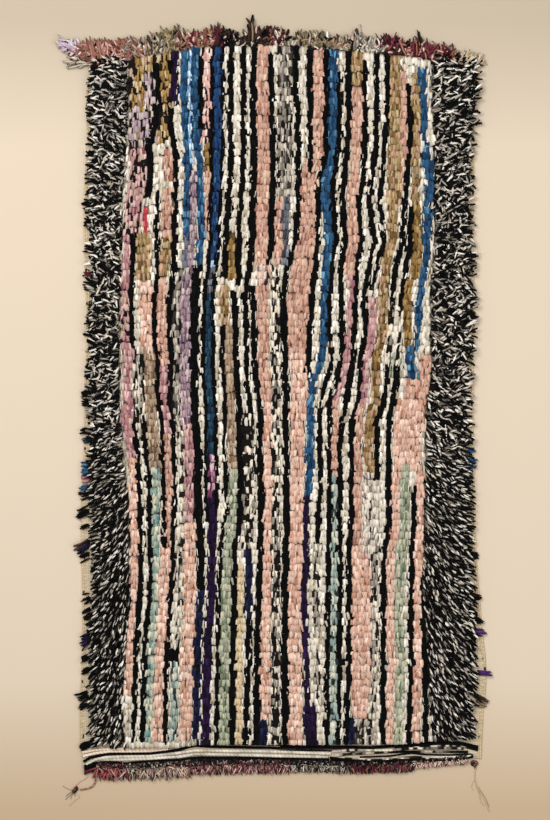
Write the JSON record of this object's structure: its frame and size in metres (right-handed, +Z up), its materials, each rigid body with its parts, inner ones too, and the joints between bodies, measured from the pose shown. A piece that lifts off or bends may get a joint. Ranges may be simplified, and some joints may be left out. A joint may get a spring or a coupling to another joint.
{
  "type": "boucherouite rug",
  "caption": "Knotted rag rug laid flat, with a striped cut pile, a flat-woven end, two fringes and two loose corner cords.",
  "frame": {"origin": "on the underside, below the middle of the cloth and its two fringes", "axes": "+Y along the rug towards the heading with its rag tufts, +Z up out of the pile"},
  "size_m": [1.3154, 2.3866, 0.0231],
  "materials": {
    "knotted_pile": "matte rag pile",
    "rag_tufts": "matte rag tufts",
    "frayed_ends": "matte frayed yarn",
    "brown_cord": "matte twisted yarn",
    "pale_cord": "matte twisted yarn"
  },
  "bodies": {
    "root": {"rug_cloth": "knotted_pile", "head_fringe": "rag_tufts", "end_fringe": "frayed_ends", "corner_cord_left": "brown_cord", "corner_cord_right": "pale_cord", "corner_knot_left": "brown_cord", "corner_knot_right": "brown_cord"}
  },
  "joints": []
}
